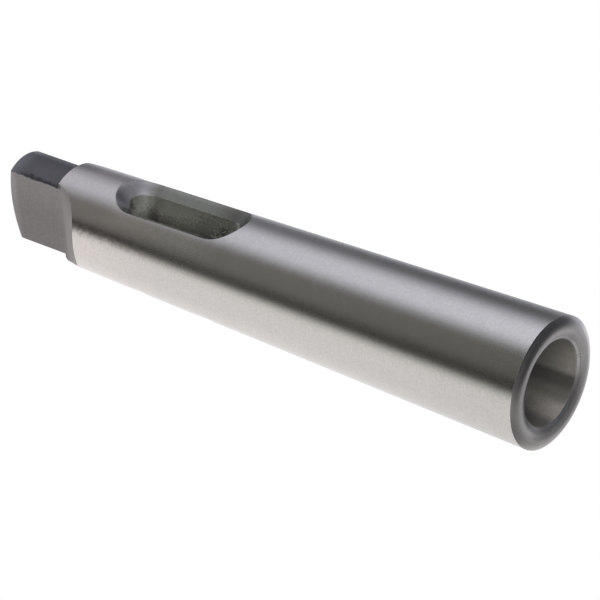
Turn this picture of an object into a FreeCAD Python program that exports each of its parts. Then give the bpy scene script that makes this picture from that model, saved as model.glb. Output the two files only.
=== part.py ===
import FreeCAD, Part
import math
import os

# A reducing sleeve for self-holding tapers: a number 2 shank outside, a number 1 socket inside.
# It stands on its mouth. Z runs up its axis, and the drift slot goes through it along Y.
# All sizes are in millimetres, and heights are measured from the mouth.

# Outside taper, given by its diameter at the gauge plane and the height that takes one off the diameter
shank_gauge_diameter = 17.780
shank_gauge_height = 17.0
shank_taper_rate = 20.020

# Tang: a turned land behind a step, with two milled flats that run out into the taper
tang_length = 10.1
tang_diameter = 12.7
tang_thickness = 6.3
flat_length = 9.0
run_out_radius = 7.5
shoulder_chamfer = 0.4

# Domed end of the tang, ground a little askew
end_dome_radius = 22.0
end_dome_shift_x = 1.40
end_dome_shift_y = -0.90
end_edge_radius = 0.5

# Drift slot, with a wide bevel round both of its mouths
slot_start = 52.35
slot_width = 5.4
slot_length = 18.7
slot_bevel = 1.8

# Solid neck between the slot and the step under the tang
neck_length = 11.15

# Inside taper, which ends in a drilled hole that breaks into the slot
socket_gauge_diameter = 12.065
socket_gauge_height = 1.0
socket_taper_rate = 20.047
drill_diameter = 9.7
drill_past_slot_start = 5.15
drill_point_angle = 118.0

# Lip round the mouth: a narrow flat land between two soft rounds
lip_land_width = 0.6
lip_outer_drop = 0.47
lip_inner_drop = 0.45
bore_edge_break = 0.12

# Heights that follow from the sizes above
slot_end = slot_start + slot_length
drill_depth = slot_start + drill_past_slot_start
shoulder_height = slot_end + neck_length
overall_length = shoulder_height + tang_length

axis = FreeCAD.Vector(0, 0, 1)


def shank_radius(height):
    """Radius of the outside taper at a height."""
    return (shank_gauge_diameter - (height - shank_gauge_height) / shank_taper_rate) / 2


def socket_radius(height):
    """Radius of the inside taper at a height."""
    return (socket_gauge_diameter - (height - socket_gauge_height) / socket_taper_rate) / 2


def at(radius, height):
    """A point of the turned profile, in the XZ plane."""
    return FreeCAD.Vector(radius, 0, height)


def lip_round(land_radius, edge_radius, drop):
    """Arc that leaves the flat land level and ends at an edge, a small drop above the land."""
    run = edge_radius - land_radius
    round_radius = (run * run + drop * drop) / (2 * drop)
    half_turn = math.atan2(drop, abs(run))
    middle_run = math.copysign(round_radius * math.sin(half_turn), run)
    middle_drop = round_radius * (1 - math.cos(half_turn))
    return Part.Arc(
        at(land_radius, 0),
        at(land_radius + middle_run, middle_drop),
        at(edge_radius, drop),
    ).toShape()


def turned_blank():
    """Everything that is turned: lip, outside taper, tang land, socket and drilled hole."""
    drill_radius = drill_diameter / 2
    drill_tip = drill_depth + drill_radius / math.tan(math.radians(drill_point_angle / 2))
    taper_end = socket_gauge_height + (socket_gauge_diameter - drill_diameter) * socket_taper_rate
    stock_top = overall_length + 1

    wall_start = at(socket_radius(lip_inner_drop + bore_edge_break), lip_inner_drop + bore_edge_break)
    bore_edge = at(wall_start.x + bore_edge_break, lip_inner_drop)
    ring = at(shank_radius(lip_outer_drop), lip_outer_drop)
    land_centre = (bore_edge.x + ring.x) / 2
    land_inner = land_centre - lip_land_width / 2
    land_outer = land_centre + lip_land_width / 2

    inside = [at(0, drill_tip), at(drill_radius, drill_depth), at(drill_radius, taper_end), wall_start, bore_edge]
    chamfer_start = shoulder_height - shoulder_chamfer
    outside = [
        ring,
        at(shank_radius(chamfer_start), chamfer_start),
        at(shank_radius(chamfer_start) - shoulder_chamfer, shoulder_height),
        at(tang_diameter / 2, shoulder_height),
        at(tang_diameter / 2, stock_top),
        at(0, stock_top),
        at(0, drill_tip),
    ]
    edges = list(Part.makePolygon(inside).Edges)
    edges.append(lip_round(land_inner, bore_edge.x, lip_inner_drop))
    edges.append(Part.makeLine(at(land_inner, 0), at(land_outer, 0)))
    edges.append(lip_round(land_outer, ring.x, lip_outer_drop))
    edges.extend(Part.makePolygon(outside).Edges)
    profile = Part.Face(Part.Wire(Part.__sortEdges__(edges)))
    return profile.revolve(at(0, 0), axis, 360)


def drift_slot(reach):
    """The slot's cutter: a long hole with round ends, in the XZ plane, pushed through along Y."""
    half_width = slot_width / 2
    low = slot_start + half_width
    high = slot_end - half_width
    outline = Part.Wire([
        Part.makeLine(at(half_width, low), at(half_width, high)),
        Part.Arc(at(half_width, high), at(0, high + half_width), at(-half_width, high)).toShape(),
        Part.makeLine(at(-half_width, high), at(-half_width, low)),
        Part.Arc(at(-half_width, low), at(0, low - half_width), at(half_width, low)).toShape(),
    ])
    cutter = Part.Face(outline).extrude(FreeCAD.Vector(0, 2 * reach, 0))
    return cutter.translated(FreeCAD.Vector(0, -reach, 0))


def slot_mouth_edges(body):
    """Edges of the slot that lie on the outside taper."""
    found = []
    for edge in body.Edges:
        if edge.BoundBox.ZMin < slot_start - 0.1 or edge.BoundBox.ZMax > slot_end + 0.1:
            continue
        points = edge.discretize(7)
        if all(abs(math.hypot(p.x, p.y) - shank_radius(p.z)) < 0.001 for p in points):
            found.append(edge)
    return found


def flat_waste(side, reach):
    """What milling takes off one side of the tang: a level cut that ends in the cutter's round."""
    near = tang_thickness / 2
    centre = near + run_out_radius
    start = overall_length - flat_length
    top = overall_length + 2
    middle = run_out_radius * math.sqrt(0.5)
    outline = Part.Wire([
        Part.makeLine(at(near, top), at(near, start)),
        Part.Arc(
            at(near, start),
            at(centre - middle, start - middle),
            at(centre, start - run_out_radius),
        ).toShape(),
        Part.makePolygon([at(centre, start - run_out_radius), at(centre, top), at(near, top)]),
    ])
    waste = Part.Face(outline).extrude(FreeCAD.Vector(0, 2 * reach, 0))
    waste.translate(FreeCAD.Vector(0, -reach, 0))
    if side < 0:
        waste.rotate(at(0, 0), axis, 180)
    return waste


def end_sphere():
    """Ball whose top is the domed end. Its poles and seam are turned away from the dome."""
    ball = Part.makeSphere(end_dome_radius)
    ball.rotate(at(0, 0), FreeCAD.Vector(0, 1, 0), 90)
    ball.translate(FreeCAD.Vector(end_dome_shift_x, end_dome_shift_y, overall_length - end_dome_radius))
    return ball


def end_waste(reach):
    """What grinding takes off the end of the tang to leave a shallow dome."""
    low = overall_length - tang_length / 2
    stock = Part.makeBox(2 * reach, 2 * reach, tang_length, FreeCAD.Vector(-reach, -reach, low))
    return stock.cut(end_sphere())


def end_edges(body):
    """Edges round the domed end."""
    centre = FreeCAD.Vector(end_dome_shift_x, end_dome_shift_y, overall_length - end_dome_radius)
    low = overall_length - tang_length / 2
    found = []
    for edge in body.Edges:
        if edge.BoundBox.ZMin < low:
            continue
        if all(abs(p.sub(centre).Length - end_dome_radius) < 0.001 for p in edge.discretize(7)):
            found.append(edge)
    return found


def taper_sleeve():
    """The finished sleeve, one solid."""
    reach = shank_gauge_diameter
    body = turned_blank()
    body = body.cut(drift_slot(reach))
    body = body.makeChamfer(slot_bevel, slot_mouth_edges(body))
    body = body.cut(flat_waste(1, reach))
    body = body.cut(flat_waste(-1, reach))
    body = body.cut(end_waste(reach))
    body = body.makeFillet(end_edge_radius, end_edges(body))
    return body.Solids[0]


os.makedirs("parts", exist_ok=True)
sleeve = taper_sleeve()
sleeve.exportStep("parts/taper_sleeve.step")
box = sleeve.BoundBox
print("taper_sleeve valid", sleeve.isValid(), "volume", round(sleeve.Volume, 1), "size",
      round(box.XLength, 3), round(box.YLength, 3), round(box.ZLength, 3), "faces", len(sleeve.Faces))
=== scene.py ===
import math
from types import SimpleNamespace

import bpy
import numpy as np
from mathutils import Matrix, Vector

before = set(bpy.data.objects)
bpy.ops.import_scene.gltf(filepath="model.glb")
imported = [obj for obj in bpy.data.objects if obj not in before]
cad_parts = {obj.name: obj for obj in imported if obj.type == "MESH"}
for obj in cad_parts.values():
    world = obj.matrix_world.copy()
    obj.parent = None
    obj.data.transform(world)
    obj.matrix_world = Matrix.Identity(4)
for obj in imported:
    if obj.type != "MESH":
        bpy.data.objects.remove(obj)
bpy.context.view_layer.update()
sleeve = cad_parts["taper_sleeve"]

# The sleeve's own sizes, in millimetres, with heights measured from the mouth. They follow its source, and
# tell the material which cut it is on.
SHANK_RADIUS_AT_MOUTH = 9.3146
SHANK_SLOPE = 0.024975
SOCKET_RADIUS_AT_MOUTH = 6.0574
SOCKET_SLOPE = 0.024941
DRILL_RADIUS = 4.85
LIP_HEIGHT = 0.47
LIP_CREST = 7.75
SHOULDER_HEIGHT = 82.2
SHOULDER_CHAMFER = 0.4
TANG_RADIUS = 6.35
SLOT_MIDDLE = 61.7
SLOT_STRAIGHT = 6.65
SLOT_HALF_WIDTH = 2.7

# The drilled hole's point lies just under this height
ABOVE_DRILL_TIP = 60.5
# A point that lies this far under the outside taper is on a cut
CUT_DEPTH = 0.10
# Such a cut is the slot's between these two heights, and the tang's flats above them
SLOT_CUTS_START = 49.5
SLOT_CUTS_END = 74.0
# The flats' run-out is painted lighter up to about this height, as painted light where its face turns
LIT_RUN_OUT_END = 81.6

# The stage, in metres, with its grids. The floor lies a little under the mouth, and is open in the middle.
TENT_RADIUS = 0.9
TENT_ROWS = 49
FLOOR_RADIUS = 0.85
FLOOR_OPENING = 0.002
FLOOR_DROP = 0.00005
FLOOR_ROWS = 24
POINTS_ROUND = 96

# Bearings on the tent run once round from here, so that no screen crosses the join
TENT_BEARING_START = 105.0
# Direction of the dark card's middle, 335 degrees round and 50 degrees down
CARD_CENTRE = (0.583, -0.272, -0.766)

# Steel that was cut with the slot: its walls, and the drilled end's
SLOT_STEEL = (0.542, 0.540, 0.508, 1)


class Bench:
    """Short calls that lay out a material's nodes.
    A value may be a number, a colour or another node's socket."""

    def __init__(self, tree):
        self.tree = tree
        self.tree.nodes.clear()

    def node(self, kind, **settings):
        made = self.tree.nodes.new(kind)
        for name, value in settings.items():
            setattr(made, name, value)
        return made

    def feed(self, socket, value):
        if isinstance(value, bpy.types.NodeSocket):
            self.tree.links.new(value, socket)
        elif value is not None:
            socket.default_value = value

    def end(self, shader, kind="ShaderNodeOutputMaterial"):
        """Feed the last shader to the output."""
        self.feed(self.node(kind).inputs["Surface"], shader.outputs[0])

    def maths(self, operation, *values):
        made = self.node("ShaderNodeMath", operation=operation)
        for socket, value in zip(made.inputs, values):
            self.feed(socket, value)
        return made.outputs[0]

    def product(self, first, *others):
        for other in others:
            first = self.maths("MULTIPLY", first, other)
        return first

    def ramp(self, value, slope, base):
        """Straight line: the base, and the slope for each unit of the value."""
        return self.maths("MULTIPLY_ADD", value, slope, base)

    def flip(self, share):
        """1 where the share is 0, and 0 where it is 1."""
        return self.maths("SUBTRACT", 1.0, share)

    def vector(self, operation, first, second=None, scale=None):
        made = self.node("ShaderNodeVectorMath", operation=operation)
        self.feed(made.inputs[0], first)
        self.feed(made.inputs[1], second)
        if scale is not None:
            self.feed(made.inputs["Scale"], scale)
        return made.outputs["Value" if operation in ("LENGTH", "DISTANCE", "DOT_PRODUCT") else "Vector"]

    def join(self, x, y, z):
        made = self.node("ShaderNodeCombineXYZ")
        for socket, value in zip(made.inputs, (x, y, z)):
            self.feed(socket, value)
        return made.outputs[0]

    def split(self, vector):
        made = self.node("ShaderNodeSeparateXYZ")
        self.feed(made.inputs[0], vector)
        return made.outputs

    def step(self, value, start, end, low=0.0, high=1.0):
        """A soft step: low before start, high after end."""
        made = self.node("ShaderNodeMapRange", interpolation_type="SMOOTHSTEP")
        for socket, given in zip(made.inputs, (value, start, end, low, high)):
            self.feed(socket, given)
        return made.outputs[0]

    def band(self, value, start, end, soft):
        """1 between start and end, with soft sides."""
        return self.product(
            self.step(value, start - soft, start + soft),
            self.step(value, end - soft, end + soft, 1.0, 0.0),
        )

    def towards(self, outwards, bearing, start, end, low=0.0, high=1.0):
        """A soft step on the cosine between a direction and a bearing round the axis, in degrees."""
        angle = math.radians(bearing)
        cosine = self.vector("DOT_PRODUCT", outwards, (math.cos(angle), math.sin(angle), 0.0))
        return self.step(cosine, start, end, low, high)

    def mix(self, share, first, second):
        """Colour that goes from first to second as the share goes from 0 to 1."""
        made = self.node("ShaderNodeMix", data_type="RGBA")
        self.feed(made.inputs[0], share)
        # A mix node's colours are its sockets 6 and 7, and its blend of them is output 2
        self.feed(made.inputs[6], first)
        self.feed(made.inputs[7], second)
        return made.outputs[2]

    def level(self, share, first, second):
        """Number that goes from first to second as the share goes from 0 to 1."""
        made = self.node("ShaderNodeMix", data_type="FLOAT")
        self.feed(made.inputs[0], share)
        self.feed(made.inputs[2], first)
        self.feed(made.inputs[3], second)
        return made.outputs[0]

    def tint(self, colour, share):
        """Colour made lighter or darker by a share of itself."""
        made = self.node("ShaderNodeVectorMath", operation="SCALE")
        self.feed(made.inputs[0], colour if isinstance(colour, bpy.types.NodeSocket) else colour[:3])
        self.feed(made.inputs["Scale"], share)
        return made.outputs[0]

    def grain(self, vector, scale, detail, rough):
        """Noise between about 0 and 1."""
        made = self.node("ShaderNodeTexNoise", noise_dimensions="3D")
        self.feed(made.inputs["Vector"], vector)
        self.feed(made.inputs["Scale"], scale)
        self.feed(made.inputs["Detail"], detail)
        self.feed(made.inputs["Roughness"], rough)
        return made.outputs[0]

    def turn(self, vector, kind="NORMAL"):
        """A direction of the piece as a direction of the scene."""
        made = self.node("ShaderNodeVectorTransform", vector_type=kind)
        made.convert_from = "OBJECT"
        made.convert_to = "WORLD"
        self.feed(made.inputs[0], vector)
        return made.outputs[0]


def start_material(name):
    """A new material, and the bench that lays out its nodes."""
    material = bpy.data.materials.new(name)
    material.use_nodes = True
    return material, Bench(material.node_tree)


def photo_camera():
    """Long lens below the mouth's side, rolled until the sleeve lies across the frame."""
    place = Vector((-0.31471, -0.26350, -0.22006))
    aim = Vector((-0.00065, 0.00077, 0.04139))
    roll = math.radians(69.99)
    forward = (aim - place).normalized()
    level_right = forward.cross(Vector((0, 0, 1))).normalized()
    level_up = level_right.cross(forward)
    up = level_up * math.cos(roll) + level_right * math.sin(roll)
    right = forward.cross(up)
    lens = bpy.data.cameras.new("photo_camera")
    lens.sensor_width = 36.0
    lens.lens = 213.25
    lens.clip_start = 0.01
    lens.clip_end = 20.0
    camera = bpy.data.objects.new("photo_camera", lens)
    turn = Matrix((right, up, -forward)).transposed()
    camera.matrix_world = Matrix.Translation(place) @ turn.to_4x4()
    bpy.context.scene.collection.objects.link(camera)
    bpy.context.scene.camera = camera


def ring_surface(name, x, y, z):
    """Mesh of quads over a grid of points. Each row is a ring, whose last point joins its first."""
    rows, columns = x.shape
    here = np.arange(rows * columns).reshape(rows, columns)
    beside = np.roll(here, -1, axis=1)
    quads = np.stack([here[:-1], beside[:-1], beside[1:], here[1:]], axis=-1).reshape(-1, 4)
    mesh = bpy.data.meshes.new(name)
    mesh.from_pydata(np.stack([x, y, z], axis=-1).reshape(-1, 3).tolist(), [], quads.tolist())
    made = bpy.data.objects.new(name, mesh)
    bpy.context.scene.collection.objects.link(made)
    return made


def white_surround():
    """Plain white all round, at a strength of 1."""
    world = bpy.data.worlds.new("white_surround")
    bpy.context.scene.world = world
    world.use_nodes = True
    bench = Bench(world.node_tree)
    paper = bench.node("ShaderNodeBackground")
    paper.inputs["Color"].default_value = (1, 1, 1, 1)
    paper.inputs["Strength"].default_value = 1.0
    bench.end(paper, "ShaderNodeOutputWorld")


def light_tent():
    """Round tent of sheer white cloth, dimmed by soft-edged grey screens and a dark card underneath.
    It is a sphere: a point at a bearing and a slope lies at the radius times (cosine of the slope times
    cosine of the bearing, cosine of the slope times sine of the bearing, sine of the slope)."""
    bearings = np.linspace(0, 2 * np.pi, POINTS_ROUND, endpoint=False)
    slopes = np.radians(np.linspace(-89.8, 89.8, TENT_ROWS))
    bearing, slope = np.meshgrid(bearings, slopes)
    x = TENT_RADIUS * np.cos(slope) * np.cos(bearing)
    y = TENT_RADIUS * np.cos(slope) * np.sin(bearing)
    z = TENT_RADIUS * np.sin(slope)
    tent = ring_surface("light_tent", x, y, z)
    tent.data.materials.append(tent_cloth())
    tent.visible_camera = False


def tent_places(bench):
    """Where a point of the tent lies: its direction, its bearing in degrees, and its height z, 1 at the top.
    The shares lifted, high and higher grow where the screens change their outlines with height."""
    at = SimpleNamespace()
    at.outwards = bench.vector("NORMALIZE", bench.node("ShaderNodeTexCoord").outputs["Object"])
    x, at.y, at.z = bench.split(at.outwards)
    turned = bench.maths("DEGREES", bench.maths("ARCTAN2", at.y, x))
    at.bearing = bench.maths("WRAP", turned, TENT_BEARING_START + 360.0, TENT_BEARING_START)
    at.lifted = bench.step(at.z, 0.45, 0.54)
    at.high = bench.step(at.z, 0.45, 0.66)
    at.higher = bench.step(at.z, 0.53, 0.60)
    return at


def near_screens(bench, at):
    """Light that the near screen stops, and light that the darker fold at its edge stops."""
    # Both fade out at their lower ends
    hung = bench.step(at.z, -0.55, -0.05)
    screen = bench.product(
        bench.step(at.bearing, 164, bench.level(at.lifted, 189, 187.5)),
        bench.step(at.bearing, 243, bench.level(at.lifted, 275, 279), 1.0, 0.0),
        bench.level(at.high, 0.885, 0.76),
        hung,
    )
    fold = bench.product(
        bench.step(at.bearing, 178, bench.level(at.lifted, 190, 186.5)),
        bench.step(at.bearing, 190, bench.level(at.lifted, 236, 216), 1.0, 0.0),
        bench.level(at.high, 0.86, 0.64),
        hung,
    )
    return screen, fold


def far_screen(bench, at):
    """Light that the far screen stops. Its end lies nearer higher up, with a short bulge on the way."""
    far_end = bench.level(at.higher, bench.level(at.lifted, 422, 407), 390.5)
    far_end = bench.ramp(bench.band(at.z, 0.565, 0.625, 0.015), 4.0, far_end)
    return bench.product(
        bench.step(at.bearing, bench.level(at.higher, 292, 297), bench.level(at.lifted, 340, 339)),
        bench.step(at.bearing, bench.level(at.lifted, 334, 351), far_end, 1.0, 0.0),
        bench.level(bench.step(at.z, 0.52, 0.63), bench.level(at.lifted, 0.885, 0.937), 0.715),
        bench.step(at.z, 0.15, 0.42),
    )


def dark_card(bench, at):
    """Light that a round card stops, which lies under the sleeve, off to one side."""
    from_middle = bench.maths("ARCCOSINE", bench.vector("DOT_PRODUCT", at.outwards, CARD_CENTRE))
    return bench.step(bench.maths("DEGREES", from_middle), 40, 51, 0.85, 0.0)


def upper_light(bench, at):
    """Light that the bare cloth passes: less in a level fold before the far screen's end, less round the bend
    beyond it, and less high up between the screens."""
    level_fold = bench.maths(
        "MAXIMUM",
        bench.step(at.z, 0.466, 0.512, 0.64, 0.98),
        bench.step(at.z, 0.28, 0.42, 1.0, 0.64),
    )
    bend = bench.level(at.lifted, bench.step(at.bearing, 425, 450, 0.86, 0.73), 1.02)
    past_fold = bench.step(at.bearing, bench.level(at.lifted, 391, 385), 410)
    outside = bench.level(past_fold, level_fold, bend)
    between = bench.level(at.high, 1.0, 0.78)
    return bench.level(bench.band(at.bearing, 255, 330, 20), outside, between)


def lower_light(bench, at):
    """The most light that the cloth passes low down, where it is dimmer the lower it hangs.
    From the side that only the bore looks to, the light is full."""
    light = bench.maths(
        "ADD",
        bench.step(at.z, -1.02, -0.80, 0.03, 0.41),
        bench.step(at.z, -0.7, -0.05, 0.0, 0.53),
    )
    # One side is dimmer still, and so is the cloth on both sides of where the bearings start
    one_side = bench.product(bench.step(at.y, 0.55, 0.78), bench.step(at.z, -0.45, 0.05, 0.42, 0.0))
    round_start = bench.maths(
        "MAXIMUM",
        bench.step(at.bearing, 424, 440),
        bench.step(at.bearing, 150, 170, 1.0, 0.0),
    )
    round_start = bench.product(round_start, bench.step(at.z, -0.45, -0.15, 0.24, 0.0))
    light = bench.product(light, bench.flip(one_side), bench.flip(round_start))
    bore_side = bench.product(bench.band(at.bearing, 145, 300, 20), bench.step(at.z, -0.92, -0.6))
    light = bench.maths("MAXIMUM", light, bore_side)
    return bench.maths("ADD", light, bench.step(at.z, 0.0, 0.3, 0.0, 0.1))


def tent_cloth():
    """Sheer cloth that lets part of the light through, by its place on the tent."""
    white = (1, 1, 1, 1)
    greenish = (0.90, 1.0, 0.85, 1)
    warm = (1.02, 0.99, 0.94, 1)
    cool = (0.89, 0.92, 1.02, 1)
    material, bench = start_material("tent_cloth")
    at = tent_places(bench)
    near_screen, near_fold = near_screens(bench, at)
    hem = bench.product(bench.band(at.bearing, 158, 172, 8), bench.flip(at.lifted), 0.12)
    passed = bench.product(
        bench.maths("MINIMUM", upper_light(bench, at), lower_light(bench, at)),
        bench.flip(hem),
        bench.flip(near_screen),
        bench.flip(near_fold),
        bench.flip(bench.maths("MAXIMUM", far_screen(bench, at), dark_card(bench, at))),
    )
    # The near screen is greenish low down and warm high up, and the cloth and the screen beyond it are cool
    near_tint = bench.mix(bench.step(at.z, 0.535, 0.58), greenish, warm)
    beyond = bench.product(bench.step(at.bearing, 238, 268), bench.step(at.bearing, 370, 405, 1.0, 0.0))
    cloth = bench.mix(beyond, bench.mix(near_screen, white, near_tint), cool)
    clear = bench.node("ShaderNodeBsdfTransparent")
    bench.feed(clear.inputs["Color"], bench.tint(cloth, passed))
    bench.end(clear)
    return material


def pale_floor():
    """Round pale floor at the mouth's height. It shows from above only, and fades into the white surround.
    It is level: a point lies at its radius times the cosine and the sine of its bearing."""
    bearings = np.linspace(0, 2 * np.pi, POINTS_ROUND, endpoint=False)
    bearing, radius = np.meshgrid(bearings, np.linspace(FLOOR_OPENING, FLOOR_RADIUS, FLOOR_ROWS))
    z = np.full_like(radius, -FLOOR_DROP)
    floor = ring_surface("pale_floor", radius * np.cos(bearing), radius * np.sin(bearing), z)
    floor.data.flip_normals()
    floor.data.materials.append(floor_paint())
    floor.visible_diffuse = False
    floor.visible_glossy = False
    floor.visible_transmission = False
    floor.visible_shadow = False


def floor_paint():
    """Matt off-white paint that turns to plain white far out and is clear from below."""
    material, bench = start_material("floor_paint")
    spot = bench.node("ShaderNodeTexCoord").outputs["Object"]
    far = bench.step(bench.vector("LENGTH", spot), 0.18, 0.75)
    paint = bench.node("ShaderNodeBsdfDiffuse")
    paint.inputs["Color"].default_value = (0.93, 0.93, 0.925, 1)
    white = bench.node("ShaderNodeEmission")
    white.inputs["Strength"].default_value = 1.0
    clear = bench.node("ShaderNodeBsdfTransparent")
    fade = bench.node("ShaderNodeMixShader")
    bench.feed(fade.inputs[0], far)
    bench.feed(fade.inputs[1], paint.outputs[0])
    bench.feed(fade.inputs[2], white.outputs[0])
    sides = bench.node("ShaderNodeMixShader")
    bench.feed(sides.inputs[0], bench.node("ShaderNodeNewGeometry").outputs["Backfacing"])
    bench.feed(sides.inputs[1], fade.outputs[0])
    bench.feed(sides.inputs[2], clear.outputs[0])
    bench.end(sides)
    return material


def steel_places(bench):
    """What the steel's masks and colours are worked out from, in millimetres and degrees on the sleeve."""
    at = SimpleNamespace()
    at.spot = bench.vector("SCALE", bench.node("ShaderNodeTexCoord").outputs["Object"], scale=1000.0)
    at.x, at.y, at.z = bench.split(at.spot)
    from_axis = bench.join(at.x, at.y, 0.0)
    at.radius = bench.vector("LENGTH", from_axis)
    at.bearing = bench.maths("DEGREES", bench.maths("ARCTAN2", at.y, at.x))
    at.outwards = bench.vector("NORMALIZE", from_axis)
    at.around = bench.vector("NORMALIZE", bench.join(bench.product(at.y, -1.0), at.x, 0.0))
    # How far a point lies from the middle, to the side and along the slot's depth
    at.side = bench.maths("ABSOLUTE", at.x)
    at.reach = bench.maths("ABSOLUTE", at.y)
    # How far a point lies under the outside taper, and how far outside the socket's wall
    under = bench.ramp(at.z, SHANK_SLOPE, at.radius)
    at.under_shank = bench.maths("SUBTRACT", SHANK_RADIUS_AT_MOUTH, under)
    wall = bench.ramp(at.z, -SOCKET_SLOPE, SOCKET_RADIUS_AT_MOUTH)
    at.outside_socket = bench.maths("SUBTRACT", at.radius, bench.maths("MAXIMUM", wall, DRILL_RADIUS))
    # Where the socket's taper gives way to the drilled hole
    at.drilled = bench.step(at.z, 44, 50)
    # Distance from the drift slot's middle line, seen along Y
    along = bench.maths("ABSOLUTE", bench.maths("SUBTRACT", at.z, SLOT_MIDDLE))
    along = bench.maths("MAXIMUM", bench.maths("SUBTRACT", along, SLOT_STRAIGHT), 0.0)
    at.from_slot = bench.vector("LENGTH", bench.join(at.x, along, 0.0))
    return at


def steel_grain(bench, at):
    """Patterns of the finish. Ground lines run round the axis: fine along Z and long the other way."""
    grain = SimpleNamespace()
    grain.lines = bench.grain(bench.vector("MULTIPLY", at.spot, (0.25, 0.25, 9.0)), 1.0, 3.0, 0.6)
    grain.mottle = bench.grain(at.spot, 0.45, 3.0, 0.6)
    grain.pits = bench.grain(at.spot, 7.0, 4.0, 0.65)
    grain.patches = bench.grain(at.spot, 1.1, 2.0, 0.55)
    grain.speckle = bench.grain(at.spot, 2.6, 3.0, 0.7)
    # Turned rings of the lip and the bore
    ring_space = bench.join(bench.product(at.radius, 5.5), bench.product(at.bearing, 0.006), 0.0)
    grain.rings = bench.grain(ring_space, 1.0, 2.0, 0.6)
    # The cutter's marks in the slot, which lie level in its depth
    grain.feed = bench.grain(bench.vector("MULTIPLY", at.spot, (0.5, 5.5, 0.5)), 1.0, 2.0, 0.6)
    return grain


def steel_cuts(bench, at):
    """Where each cut is, from 0 to 1."""
    cut = SimpleNamespace()
    cut_in = bench.step(at.under_shank, CUT_DEPTH, CUT_DEPTH + 0.02)
    above_lip = bench.step(at.z, LIP_HEIGHT, LIP_HEIGHT + 0.05)
    chamfer_start = SHOULDER_HEIGHT - SHOULDER_CHAMFER
    cut.ground = bench.product(
        bench.flip(cut_in),
        above_lip,
        bench.step(at.z, chamfer_start - 0.02, chamfer_start + 0.02, 1.0, 0.0),
    )
    cut.lip = bench.product(bench.flip(above_lip), bench.step(at.outside_socket, 0.08, 0.14))
    cut.slot_reach = bench.product(bench.band(at.z, SLOT_CUTS_START, SLOT_CUTS_END, 0.05), cut_in)
    outside_slot = bench.step(at.from_slot, SLOT_HALF_WIDTH + 0.003, SLOT_HALF_WIDTH + 0.012)
    cut.slot = bench.product(cut.slot_reach, bench.flip(outside_slot))
    socket_skin = bench.step(bench.maths("ABSOLUTE", at.outside_socket), 0.08, 0.12, 1.0, 0.0)
    under_tip = bench.step(at.z, ABOVE_DRILL_TIP, ABOVE_DRILL_TIP + 0.1, 1.0, 0.0)
    # Deep inside, what lies outside the slot is the drilled hole's wall or its point
    deep = bench.step(at.under_shank, 2.2, 2.4)
    beside_slot = bench.product(cut.slot_reach, outside_slot)
    socket_wall = bench.product(socket_skin, bench.flip(cut.slot), under_tip)
    cut.bore = bench.maths("MAXIMUM", socket_wall, bench.product(beside_slot, deep))
    cut.bevel = bench.product(beside_slot, bench.flip(bench.maths("MAXIMUM", socket_skin, deep)))
    cut.flats = bench.product(bench.step(at.z, SLOT_CUTS_END, SLOT_CUTS_END + 0.1), cut_in)
    # Painted light: where the flats' run-out is painted lighter
    lit_run_out = bench.step(at.z, LIT_RUN_OUT_END - 0.35, LIT_RUN_OUT_END + 0.35, 1.0, 0.0)
    cut.run_out = bench.product(cut.flats, lit_run_out)
    on_land = bench.step(at.radius, TANG_RADIUS - 0.03, TANG_RADIUS - 0.02)
    cut.land = bench.product(on_land, bench.step(at.z, SHOULDER_HEIGHT - 0.05, SHOULDER_HEIGHT - 0.02))
    return cut


def lip_shade(bench, at):
    """Painted light and shade of the lip: brightest along one side of the bore's edge and dark along the
    other, turned-away side.
    """
    light_side = bench.towards(at.outwards, 30, 0.2, 0.6)
    glint = bench.product(light_side, bench.step(at.radius, 6.35, 6.6, 0.6, 0.0))
    glow = bench.product(light_side, bench.step(at.radius, 6.9, 7.9, 0.3, 0.0))
    dark_side = bench.towards(at.outwards, 185, 0.25, 0.8)
    shadow = bench.product(dark_side, bench.step(at.radius, 6.55, 7.3, 0.72, 0.0))
    darkest_side = bench.towards(at.outwards, 177, 0.80, 0.97)
    darkest = bench.product(darkest_side, bench.step(at.radius, 6.6, 7.65, 0.70, 0.0))
    # Painted shade of a shallow turned groove, and a painted highlight on the edge, along a quarter of the
    # way round
    grooved = bench.towards(at.outwards, 87, 0.55, 0.85)
    groove_shade = bench.product(grooved, bench.band(at.radius, 7.2, 7.85, 0.2))
    edge_glint = bench.product(grooved, bench.step(at.radius, 6.35, 6.55, 0.45, 0.0))
    # The crest's own light opposite them, where it runs close beside the bore
    crest_side = bench.towards(at.outwards, 267, 0.5, 0.85)
    crest_light = bench.product(crest_side, bench.band(at.radius, 6.95, 7.6, 0.18), 0.2)
    # A painted highlight along a short way of the outer edge
    rim_glint = bench.towards(at.outwards, -10, 0.86, 0.97)
    rim_glint = bench.product(rim_glint, bench.step(at.radius, 8.05, 8.7, 0.0, 0.5))
    # A short nick across the edge: two dark scratches, with a painted highlight on the burr between them
    first = bench.band(at.bearing, -8.2, -7.2, 0.4)
    burr_glint = bench.band(at.bearing, -6.6, -5.6, 0.4)
    second = bench.band(at.bearing, -5.0, -4.2, 0.4)
    nick = bench.maths("SUBTRACT", bench.maths("ADD", first, second), burr_glint)
    nick = bench.product(nick, bench.step(at.radius, 6.55, 6.95, 0.42, 0.0))
    darker = bench.product(bench.flip(shadow), bench.flip(darkest), bench.flip(nick))
    shade = bench.product(darker, bench.ramp(groove_shade, -0.22, 1.0))
    for gain in (glint, glow, rim_glint, edge_glint, crest_light):
        shade = bench.product(shade, bench.maths("ADD", 1.0, gain))
    return shade


def lip_colour(bench, at, grain):
    """Heat-treated skin with turned rings, which are plainest near the bore."""
    skin = (0.505, 0.488, 0.483, 1)
    plain = bench.step(at.radius, 6.8, 7.6, 1.0, 0.45)
    ringed = bench.ramp(bench.maths("SUBTRACT", grain.rings, 0.5), plain, 1.0)
    return bench.tint(skin, bench.product(ringed, lip_shade(bench, at)))


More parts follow.
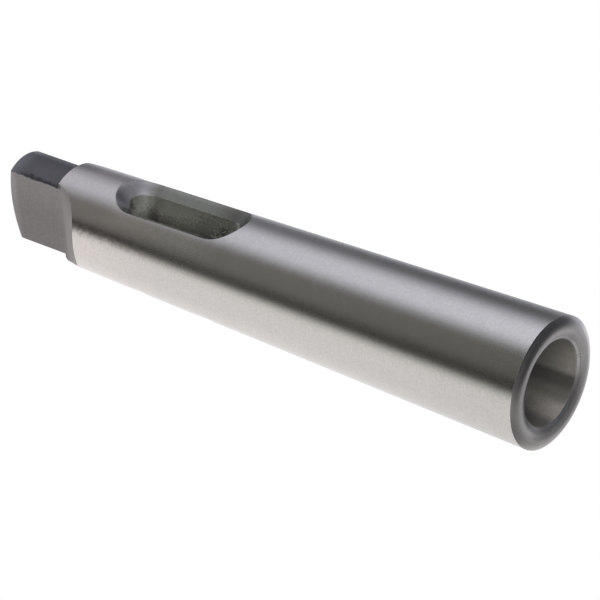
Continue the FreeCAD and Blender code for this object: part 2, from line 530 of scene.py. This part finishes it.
def bore_shade(bench, at, grain):
    """Painted reflections of light and dark stripes that run down the socket's wall, with painted shade
    further in, and speckle on the drilled end's.
    """
    rise = bench.step(at.bearing, -45, 0, 0.68, 1.14)
    drop = bench.step(at.bearing, 17, 26, 1.0, 0.455)
    climb = bench.step(at.bearing, 34, 48, 1.0, 1.58)
    second_climb = bench.step(at.bearing, 50, 68, 1.0, 1.85)
    fall = bench.step(at.bearing, 78, 100, 1.0, 0.60)
    # Painted shade: further in, all but one stripe is darker
    darker = bench.level(bench.band(at.bearing, 24, 60, 8), 0.26, 0.0)
    further_in = bench.flip(bench.product(bench.step(at.z, 1.0, 6.0), darker))
    reflected_stripes = bench.product(rise, drop, climb, second_climb, fall, further_in)
    speckled = bench.maths("MAXIMUM", bench.ramp(grain.speckle, 3.0, -0.55), 0.35)
    return bench.level(at.drilled, reflected_stripes, speckled)


def bore_colour(bench, at, grain):
    """Bored steel of the socket, with faint rings, and the drilled end's steel."""
    bored = (0.624, 0.597, 0.561, 1)
    ringed = bench.ramp(grain.rings, 0.16, 0.92)
    steel = bench.mix(at.drilled, bored, SLOT_STEEL)
    return bench.tint(steel, bench.product(bore_shade(bench, at, grain), ringed))


def slot_shade(bench, at, grain):
    """Painted light and shade on the slot's wall: lightest under its bevel and darker inwards, with painted
    light on its round end towards the tang and painted shade towards the mouth. Painted highlights mark a
    burr with loose bits where the drill came through."""
    # Painted shade that darkens inwards, and painted light under the bevel
    depth = bench.maths(
        "ADD",
        bench.step(at.reach, 0.95, 5.1, 0.24, 1.30),
        bench.step(at.reach, 0.4, 1.1, 0.25, 0.0),
    )
    under_bevel = bench.product(bench.step(at.reach, 4.2, 5.6), bench.step(at.z, 57, 63, 0.2, 0.7))
    depth = bench.maths("ADD", depth, under_bevel)
    # In the round end the light lies to one side, and fades outwards on the other
    dim_side = bench.step(at.reach, 2.3, 4.9, 0.95, 0.17)
    gleam = bench.product(bench.step(at.x, -0.2, 0.6, dim_side, 0.68), bench.step(at.x, 1.2, 1.9, 1.0, 0.90))
    gleam = bench.level(bench.step(at.z, 68.4, 69.4), 1.0, gleam)
    towards_tang = bench.product(bench.step(at.z, 58, 68.5, 0.90, 2.2), bench.step(at.z, 66.5, 69, 1.0, 1.2))
    # Painted shade towards the mouth
    towards_mouth = bench.step(at.z, 53.4, 55.4, 0.38, 1.0)
    # Painted highlights: the burr is part of a ring on both walls, and the loose bits lie beside it
    across = bench.join(0.0, at.reach, at.z)
    from_burr = bench.vector("DISTANCE", across, (0.0, 3.4, 58.8))
    burr_glint = bench.product(
        bench.band(from_burr, 1.50, 1.66, 0.06),
        bench.step(at.z, 59.4, 59.9, 1.0, 0.0),
        bench.step(grain.speckle, 0.35, 0.6),
    )
    from_bits = bench.vector("DISTANCE", across, (0.0, 2.6, 57.6))
    bit_glints = bench.product(bench.step(from_bits, 0.5, 1.6, 1.0, 0.0), bench.step(grain.speckle, 0.52, 0.62))
    speckled = bench.ramp(grain.speckle, 1.3, 0.35)
    marked = bench.ramp(grain.feed, 0.5, 0.75)
    shade = bench.product(depth, towards_tang, gleam, speckled, marked)
    shade = bench.ramp(bench.maths("MAXIMUM", burr_glint, bit_glints), 1.1, shade)
    return bench.product(bench.maths("MINIMUM", shade, 1.75), towards_mouth)


def bevel_colour(bench, at, grain):
    """The slot's bevel is greenish, and cooler round its end towards the tang, which has painted light on one
    side and painted shade on the other. It is lighter at its outer edge and darker at its end towards the
    mouth."""
    greenish = (0.352, 0.350, 0.308, 1)
    cool = (0.442, 0.426, 0.423, 1)
    steel = bench.mix(bench.step(at.z, 67.5, 71.5), greenish, cool)
    # Painted light on one side of the round end towards the tang, and painted shade on the other
    round_end_shade = bench.product(bench.step(at.x, -2.0, 0.5, 0.43, 1.5), bench.step(at.x, 1.2, 3.0, 1.0, 0.58))
    round_end_shade = bench.level(bench.step(at.z, 67.5, 70), 1.0, round_end_shade)
    outer_edge = bench.step(at.under_shank, 0.15, 0.7, 1.3, 1.0)
    streaked = bench.ramp(grain.feed, 0.24, 0.88)
    towards_mouth = bench.step(at.z, 53.0, 60.5, 0.42, 1.0)
    return bench.tint(steel, bench.product(round_end_shade, outer_edge, streaked, towards_mouth))


def flats_colour(bench, at, grain):
    """Milled steel, lighter at its end and towards one edge, which is frayed dark."""
    milled = (0.280, 0.261, 0.262, 1)
    end = bench.step(at.z, 89.8, 91.2, 1.0, 1.28)
    one_edge = bench.step(at.y, -5.2, 1.0, 1.16, 1.0)
    blotched = bench.ramp(grain.speckle, 0.20, 0.90)
    frayed = bench.step(bench.ramp(grain.patches, 0.9, at.y), -5.02, -4.92, 0.42, 1.0)
    return bench.tint(milled, bench.product(end, one_edge, blotched, frayed))


def land_colour(bench, at, grain):
    """The tang's turned land has a black, ragged edge beside the flats, and painted light at its end and on
    one side.
    """
    black = (0.255, 0.249, 0.261, 1)
    ragged = bench.ramp(grain.patches, 1.6, bench.maths("SUBTRACT", at.side, 0.8))
    burnt = bench.product(bench.step(ragged, 2.5, 2.95), bench.step(at.z, 87.0, 91.0, 1.0, 0.0))
    # Painted light at the land's end and on one side
    rim_light = bench.product(bench.step(at.z, 88.6, 91.6, 1.0, 1.5), bench.step(at.x, 1.3, 2.4, 1.0, 1.6))
    return bench.tint(black, bench.product(rim_light, bench.ramp(burnt, -0.5, 1.0)))


def ground_colour(bench, at, grain):
    """Ground steel of the taper, a little brighter and warmer towards its thin end. It has dark streaks, a
    darker strip and a darker patch near the tang, and painted reflections as brighter strips beside the slot
    and along one side."""
    bright = (0.640, 0.614, 0.590, 1)
    warmer = (0.655, 0.608, 0.588, 1)
    steel = bench.mix(bench.step(at.z, 55, 74), bright, warmer)
    thin_end = bench.step(at.z, 60, 76, 1.0, 1.07)
    streaks = bench.product(
        bench.band(at.bearing, -155, -150, 2.5),
        bench.step(at.z, 52, 74),
        bench.step(grain.speckle, 0.42, 0.60, 0.0, 0.5),
    )
    darker_strip = bench.product(bench.band(at.bearing, -122, -92, 6), bench.step(at.z, 40, 76, 0.0, 0.14))
    darker_patch = bench.product(bench.band(at.bearing, -84, -64, 8), bench.step(at.z, 77, 80))
    # Painted reflections: lighter strips beside the slot and along one side
    beside_slot = bench.product(bench.band(at.bearing, -140, -118, 5), bench.band(at.z, 54, 71, 3))
    reflected_strip = bench.product(bench.band(at.bearing, 120, 147, 6), bench.step(at.z, 5, 35))
    shade = bench.product(
        thin_end,
        bench.flip(streaks),
        bench.flip(darker_strip),
        bench.ramp(darker_patch, -0.22, 1.0),
        bench.ramp(beside_slot, 0.2, 1.0),
        bench.ramp(reflected_strip, 0.09, 1.0),
    )
    return bench.tint(steel, shade)


def steel_colour(bench, at, cut, grain):
    """Base colour: each cut's own, laid over the ones before, with faint lines and mottling over all."""
    # Painted light on the flats' run-out, where its face turns
    lit_run_out = (0.345, 0.327, 0.322, 1)
    slot_wall = bench.tint(SLOT_STEEL, slot_shade(bench, at, grain))
    colour = bench.mix(cut.slot_reach, ground_colour(bench, at, grain), slot_wall)
    colour = bench.mix(cut.bevel, colour, bevel_colour(bench, at, grain))
    colour = bench.mix(cut.bore, colour, bore_colour(bench, at, grain))
    colour = bench.mix(cut.lip, colour, lip_colour(bench, at, grain))
    colour = bench.mix(cut.flats, colour, flats_colour(bench, at, grain))
    colour = bench.mix(cut.run_out, colour, lit_run_out)
    colour = bench.mix(cut.land, colour, land_colour(bench, at, grain))
    faint = bench.product(
        bench.ramp(grain.lines, 0.18, 0.91),
        bench.ramp(grain.mottle, 0.08, 0.96),
        bench.ramp(bench.maths("ADD", grain.speckle, grain.pits), 0.28, 0.71),
    )
    return bench.tint(colour, faint)


def steel_roughness(bench, cut, grain):
    """Smooth where ground, dull where bored, milled or blackened."""
    roughness = bench.level(cut.ground, bench.level(cut.lip, 0.42, 0.32), 0.24)
    roughness = bench.level(cut.bore, roughness, 1.0)
    roughness = bench.level(cut.flats, roughness, 0.55)
    roughness = bench.level(cut.land, roughness, 0.8)
    roughness = bench.level(cut.slot, roughness, 0.5)
    return bench.maths("ADD", roughness, bench.ramp(grain.pits, 0.06, -0.03))


def taper_facing(bench, at, grain):
    """The taper's own direction outwards, a little unsteady along its ground lines and its worn thin end."""
    cone = bench.vector("NORMALIZE", bench.join(at.x, at.y, bench.product(at.radius, SHANK_SLOPE)))
    worn = bench.product(
        bench.maths("SUBTRACT", grain.patches, 0.5),
        bench.step(at.z, 58, 80, 0.0, 0.18),
        bench.step(at.bearing, -150, -142, 1.0, 0.0),
    )
    unsteady = bench.maths("ADD", bench.ramp(grain.lines, 0.03, -0.015), worn)
    unsteady = bench.vector("SCALE", at.around, scale=unsteady)
    return bench.turn(bench.vector("NORMALIZE", bench.vector("ADD", cone, unsteady)))


def lip_facing(bench, at):
    """The lip leans outwards more and more from its crest to its outer edge, and inwards towards the bore.
    Along one side its crest is a little nearer to the bore, and its outer edge leans less."""
    near_bore = bench.towards(at.outwards, 261, 0.5, 0.85, 0.0, 0.19)
    crest = bench.maths("SUBTRACT", LIP_CREST, near_bore)
    outer = bench.maths("MAXIMUM", bench.maths("SUBTRACT", at.radius, crest), 0.0)
    inner = bench.maths("MAXIMUM", bench.maths("SUBTRACT", crest, at.radius), 0.0)
    most = bench.towards(at.outwards, 228, 0.75, 0.93, 0.70, 0.53)
    outer = bench.maths("MINIMUM", bench.product(outer, 0.41), most)
    lean = bench.maths("SUBTRACT", outer, bench.product(inner, 0.24))
    down = bench.maths("SQRT", bench.maths("SUBTRACT", 1.0, bench.product(lean, lean)))
    downwards = bench.join(0.0, 0.0, bench.product(down, -1.0))
    return bench.turn(bench.vector("ADD", bench.vector("SCALE", at.outwards, scale=lean), downwards))


def steel_facing(bench, at, cut, grain):
    """Direction outwards: the taper's own, the crowned lip's, and the solid's elsewhere, with fine relief.
    It also gives the direction in which the finish's marks blur a reflection."""
    solid = bench.node("ShaderNodeNewGeometry").outputs["Normal"]
    smooth = bench.mix(cut.ground, solid, taper_facing(bench, at, grain))
    smooth = bench.mix(cut.lip, smooth, lip_facing(bench, at))
    relief = bench.node("ShaderNodeBump")
    relief.inputs["Strength"].default_value = 0.25
    relief.inputs["Distance"].default_value = 0.00002
    bench.feed(relief.inputs["Height"], bench.maths("ADD", grain.pits, grain.lines))
    bench.feed(relief.inputs["Normal"], bench.vector("NORMALIZE", smooth))
    # The finish's marks run round the axis, so its blur runs across them
    lay = bench.vector("CROSS_PRODUCT", solid, bench.turn(at.around, "VECTOR"))
    return relief.outputs[0], lay


def sleeve_steel():
    """Hardened steel: bright where it is ground, dark and dull where it keeps its heat-treated skin."""
    material, bench = start_material("sleeve_steel")
    at = steel_places(bench)
    cut = steel_cuts(bench, at)
    grain = steel_grain(bench, at)
    facing, lay = steel_facing(bench, at, cut, grain)
    steel = bench.node("ShaderNodeBsdfPrincipled")
    steel.inputs["Metallic"].default_value = 1.0
    steel.inputs["Anisotropic"].default_value = 0.8
    bench.feed(steel.inputs["Base Color"], steel_colour(bench, at, cut, grain))
    bench.feed(steel.inputs["Roughness"], steel_roughness(bench, cut, grain))
    bench.feed(steel.inputs["Normal"], facing)
    bench.feed(steel.inputs["Tangent"], lay)
    bench.end(steel)
    return material


photo_camera()
white_surround()
light_tent()
pale_floor()
sleeve.material_slots[0].material = sleeve_steel()

bpy.context.scene.view_settings.view_transform = "Standard"
